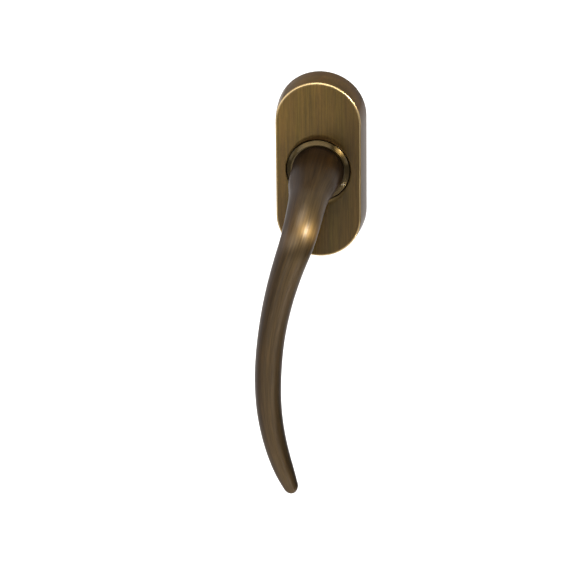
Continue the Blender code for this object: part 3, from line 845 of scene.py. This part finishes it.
def lever_bronze():
    """Antique bronze of the lever, brushed along its length under a clear lacquer, with a painted
    highlight along its front right.
    """
    s = Shading("lever_bronze")
    wrap = s.add("UVMap", uv_map="wrap").outputs["UV"]
    axes = s.add("SeparateXYZ", {"Vector": wrap}).outputs
    along = axes["Y"]
    angle = s.math("MULTIPLY", axes["X"], 2 * math.pi)
    grain = s.add("CombineXYZ", {
        "X": s.math("MULTIPLY", s.math("COSINE", angle), GRAIN_RADIUS),
        "Y": s.math("MULTIPLY", s.math("SINE", angle), GRAIN_RADIUS),
        "Z": s.math("MULTIPLY", along, GRAIN_LENGTH),
    }).outputs["Vector"]
    hairs = s.noise(grain, (2600, 2600, 90), detail=3.0, roughness=0.65)
    strands = s.noise(grain, (1100, 1100, 45), detail=2.0, roughness=0.6)
    clouds = s.noise(grain, (140, 140, 60), detail=2.0, roughness=0.55)
    # Painted highlight: lighter bronze on the lever's front right, coming in from the neck and less
    # down the grip
    side = s.add("VectorMath", {0: grain, 1: PAINTED_HIGHLIGHT_SIDE}, operation="DOT_PRODUCT").outputs["Value"]
    wear_and_painted_highlight = s.multiply(
        s.remap(side, 0.0, 1.0, PAINTED_HIGHLIGHT_EDGE * GRAIN_RADIUS, GRAIN_RADIUS),
        s.remap(along, 0.0, 1.0, *PAINTED_HIGHLIGHT_FROM),
        s.remap(along, 1.0, PAINTED_HIGHLIGHT_LESS, *PAINTED_HIGHLIGHT_LESS_FROM),
    )
    colour = s.mix(s.remap(clouds, 0.0, 1.0), PATINA, PATINA_WARM)
    colour = s.mix(wear_and_painted_highlight, colour, PAINTED_HIGHLIGHT_BRONZE)
    shade = s.multiply(s.remap(strands, 0.78, 1.18), s.remap(hairs, 0.66, 1.3))
    colour = s.scaled(colour, shade)
    s.set(
        Base_Color=colour,
        Metallic=1.0,
        Roughness=s.remap(strands, 0.48, 0.58),
        Normal=s.bump(hairs, 0.008 * MM, 0.7),
        Tangent=s.add("Tangent", direction_type="UV_MAP", uv_map="wrap").outputs["Tangent"],
        Anisotropic=0.7,
        Specular_Tint=EDGE_TINT,
        Coat_Weight=0.45,
        Coat_Roughness=0.35,
        Coat_IOR=1.5,
    )
    return s.material


def polished_brass():
    """The collar: turned, with fine rings, patinated less than the rose."""
    s = Shading("polished_brass")
    place = s.add("TexCoord").outputs["Object"]
    axes = s.add("SeparateXYZ", {"Vector": place}).outputs
    x_squared, z_squared = [s.math("MULTIPLY", axes[axis], axes[axis]) for axis in "XZ"]
    radius = s.math("SQRT", s.math("ADD", x_squared, z_squared))
    rings = s.add("CombineXYZ", {"X": radius, "Y": axes["Y"]}).outputs["Vector"]
    lines = s.noise(rings, (9000, 9000, 1), detail=3.0, roughness=0.6)
    clouds = s.noise(place, (500, 500, 500), detail=2.0, roughness=0.5)
    colour = s.mix(s.remap(clouds, 0.0, 1.0), COLLAR_DARK, COLLAR_WARM)
    s.set(
        Base_Color=colour,
        Metallic=1.0,
        Roughness=s.remap(lines, 0.22, 0.32),
        Normal=s.bump(lines, 0.003 * MM, 0.5),
        Tangent=s.add("Tangent", direction_type="RADIAL", axis="Y").outputs["Tangent"],
        Anisotropic=0.6,
        Anisotropic_Rotation=0.25,
        Specular_Tint=EDGE_TINT,
        Coat_Weight=0.2,
        Coat_Roughness=0.12,
    )
    return s.material


def speckled(name, dark, light, metallic, roughness, scale, bump_height):
    """A plain moulded, cast or plated finish: mottled colour, uneven gloss and a fine tooth."""
    s = Shading(name)
    place = s.add("TexCoord").outputs["Object"]
    broad_scale = scale / 9
    fine = s.noise(place, (scale, scale, scale), detail=3.0, roughness=0.6)
    broad = s.noise(place, (broad_scale, broad_scale, broad_scale), detail=2.0, roughness=0.5)
    s.set(
        Base_Color=s.mix(s.remap(broad, 0.0, 1.0), dark, light),
        Metallic=metallic,
        Roughness=s.remap(fine, roughness - UNEVEN_GLOSS, roughness + UNEVEN_GLOSS),
        Normal=s.bump(fine, bump_height, 0.7),
    )
    return s.material


def finish_cad_nodes(finishes):
    """Give every CAD node that shows the finish of its slot."""
    for subpart in frame["record"]["subparts"]:
        material = finishes.get(subpart["material_slot"])
        if material is None:
            continue
        obj = nodes[subpart["node"]]
        for material_slot in obj.material_slots:
            material_slot.link = "OBJECT"
            material_slot.material = material


# Studio

def make_camera():
    """The camera, up and to the right of the handle, with a long lens."""
    sin_a, cos_a = math.sin(CAMERA_AZIMUTH), math.cos(CAMERA_AZIMUTH)
    sin_e, cos_e = math.sin(CAMERA_ELEVATION), math.cos(CAMERA_ELEVATION)
    right = Vector((cos_a, sin_a, 0.0))
    up = Vector((-sin_a * sin_e, cos_a * sin_e, cos_e))
    ahead = Vector((-sin_a * cos_e, cos_a * cos_e, -sin_e))
    cos_r, sin_r = math.cos(CAMERA_ROLL), math.sin(CAMERA_ROLL)
    rolled_right = right * cos_r + up * sin_r
    rolled_up = up * cos_r - right * sin_r
    camera = bpy.data.objects.new("camera", bpy.data.cameras.new("camera"))
    scene.collection.objects.link(camera)
    turn = Matrix((rolled_right, rolled_up, -ahead)).transposed().to_4x4()
    camera.matrix_world = Matrix.Translation(CAMERA_TARGET - ahead * CAMERA_DISTANCE) @ turn
    camera.data.sensor_width = CAMERA_SENSOR
    camera.data.lens = CAMERA_LENS
    camera.data.clip_start = 0.05
    camera.data.clip_end = 50.0
    scene.camera = camera


def matt(name, dark, light, scale, detail, **shader):
    """A matt finish whose colour wavers between two greys."""
    s = Shading(name)
    place = s.add("TexCoord").outputs["Object"]
    tone = s.remap(s.noise(place, (scale, scale, scale), detail), 0.0, 1.0)
    s.set(Base_Color=s.mix(tone, (dark,) * 3, (light,) * 3), **shader)
    return s.material


def flat_piece(name, corners, material):
    """One rectangle for the studio around the handle."""
    mesh = bpy.data.meshes.new(name)
    mesh.from_pydata(corners, [], [(0, 1, 2, 3)])
    piece = new_object(name, mesh, material)
    return piece


def make_floor():
    """A pale paper floor below the handle."""
    half = FLOOR_HALF
    corners = ((-half, -half), (half, -half), (half, half), (-half, half))
    material = matt("studio_floor", 0.86, 0.88, scale=60, detail=3.0, Roughness=0.9)
    flat_piece("studio_floor", [(x, y, FLOOR_HEIGHT) for x, y in corners], material)


def make_dark_card():
    """A black card to the right of the handle, which shows only in its reflections."""
    (y0, z0), (y1, z1) = CARD_LOW, CARD_HIGH
    corners = ((y0, z0), (y1, z0), (y1, z1), (y0, z1))
    shine = {"Roughness": 1.0, "Specular_IOR_Level": 0.0}
    material = matt("dark_card", 0.010, 0.014, scale=400, detail=2.0, **shine)
    card = flat_piece("dark_card", [(CARD_X, y, z) for y, z in corners], material)
    card.visible_camera = False
    card.visible_diffuse = False
    card.visible_shadow = False


def area_light(name, place, aim, size, power, colour=WHITE):
    """A soft rectangular light that the camera doesn't see."""
    data = bpy.data.lights.new(name, "AREA")
    data.shape = "RECTANGLE"
    data.size, data.size_y = size
    data.energy = power
    data.color = colour
    light = bpy.data.objects.new(name, data)
    scene.collection.objects.link(light)
    light.location = place
    light.rotation_mode = "QUATERNION"
    light.rotation_quaternion = (Vector(aim) - Vector(place)).to_track_quat("-Z", "Y")
    light.visible_camera = False
    return light


def make_world():
    """White surroundings behind the handle, a dim room on the camera's side."""
    world = bpy.data.worlds.new("studio")
    scene.world = world
    world.use_nodes = True
    tree = world.node_tree
    background = tree.nodes["Background"]
    direction = tree.nodes.new("ShaderNodeTexCoord").outputs["Generated"]
    facing = tree.nodes.new("ShaderNodeVectorMath")
    facing.operation = "DOT_PRODUCT"
    tree.links.new(direction, facing.inputs[0])
    facing.inputs[1].default_value = BACKDROP_MIDDLE
    ramp = tree.nodes.new("ShaderNodeMapRange")
    tree.links.new(facing.outputs["Value"], ramp.inputs["Value"])
    ramp.inputs["From Min"].default_value = BACKDROP_FADE[0]
    ramp.inputs["From Max"].default_value = BACKDROP_FADE[1]
    ramp.inputs["To Min"].default_value = ROOM_LIGHT
    ramp.inputs["To Max"].default_value = BACKDROP_LIGHT
    path = tree.nodes.new("ShaderNodeLightPath")
    strength = tree.nodes.new("ShaderNodeMath")
    strength.operation = "MAXIMUM"
    tree.links.new(ramp.outputs["Result"], strength.inputs[0])
    tree.links.new(path.outputs["Is Camera Ray"], strength.inputs[1])
    dimmed = tree.nodes.new("ShaderNodeMix")
    dimmed.data_type = "FLOAT"
    tree.links.new(path.outputs["Is Diffuse Ray"], dimmed.inputs["Factor"])
    tree.links.new(strength.outputs[0], dimmed.inputs["A"])
    dimmed.inputs["B"].default_value = DIFFUSE_LIGHT
    tree.links.new(dimmed.outputs["Result"], background.inputs["Strength"])
    background.inputs["Color"].default_value = (1.0, 1.0, 1.0, 1.0)


def soft_box(name, azimuth, elevation, width, height, brightness, colour=WHITE):
    """A lamp that faces the handle: where it stands and its size, in degrees as seen from there.

    Azimuth runs to the right of straight ahead and elevation upwards.
    """
    a, e = math.radians(azimuth), math.radians(elevation)
    ahead = Vector((math.sin(a) * math.cos(e), -math.cos(a) * math.cos(e), math.sin(e)))
    size = [2 * LAMP_DISTANCE * math.tan(math.radians(angle) / 2) for angle in (width, height)]
    power = brightness * math.pi * size[0] * size[1]
    area_light(name, LIT_MIDDLE + ahead * LAMP_DISTANCE, LIT_MIDDLE, size, power, colour)


def make_floor_light():
    """A lamp close above the floor behind the handle, which turns it white towards the backdrop."""
    place = BACKDROP_MIDDLE * FLOOR_LIGHT_DISTANCE
    place.z = FLOOR_HEIGHT + FLOOR_LIGHT_HEIGHT
    light = area_light("floor_light", place, place, FLOOR_LIGHT_SIZE, FLOOR_LIGHT_POWER)
    light.rotation_mode = "XYZ"
    light.rotation_euler = (0.0, 0.0, math.atan2(BACKDROP_MIDDLE.y, BACKDROP_MIDDLE.x))
    light.visible_glossy = False


def make_studio():
    """The camera, floor, card, surroundings and lamps."""
    make_camera()
    make_floor()
    make_dark_card()
    make_world()
    soft_box("key_light", 62, 33, 12, 14, 120, WARM_WHITE)
    soft_box("side_strip", 62, 8, 14, 17, 2.5)
    soft_box("collar_glint", 60, -45, 3, 3, 180)
    soft_box("front_fill", -14, -18, 19, 19, 1.8)
    soft_box("front_panel", -20, 25, 68, 28, 2.8)
    soft_box("left_panel", -88, 15, 45, 28, 2.0)
    soft_box("upper_panel", -15, 46, 62, 14, 3.0, WARM_WHITE)
    soft_box("overhead", 0, 80, 37, 33, 5.0)
    make_floor_light()
    scene.view_settings.view_transform = "Standard"


rose_cover(brushed_bronze())
neck_collar(polished_brass())
lever_handle(lever_bronze())
finishes = {name: speckled(name, *values) for name, values in PLAIN_FINISHES.items()}
for label in ("upper", "lower"):
    fixing_screw(label, finishes["zinc_plated_steel"])
spindle(finishes["zinc_plated_steel"])
finish_cad_nodes(finishes)
make_studio()
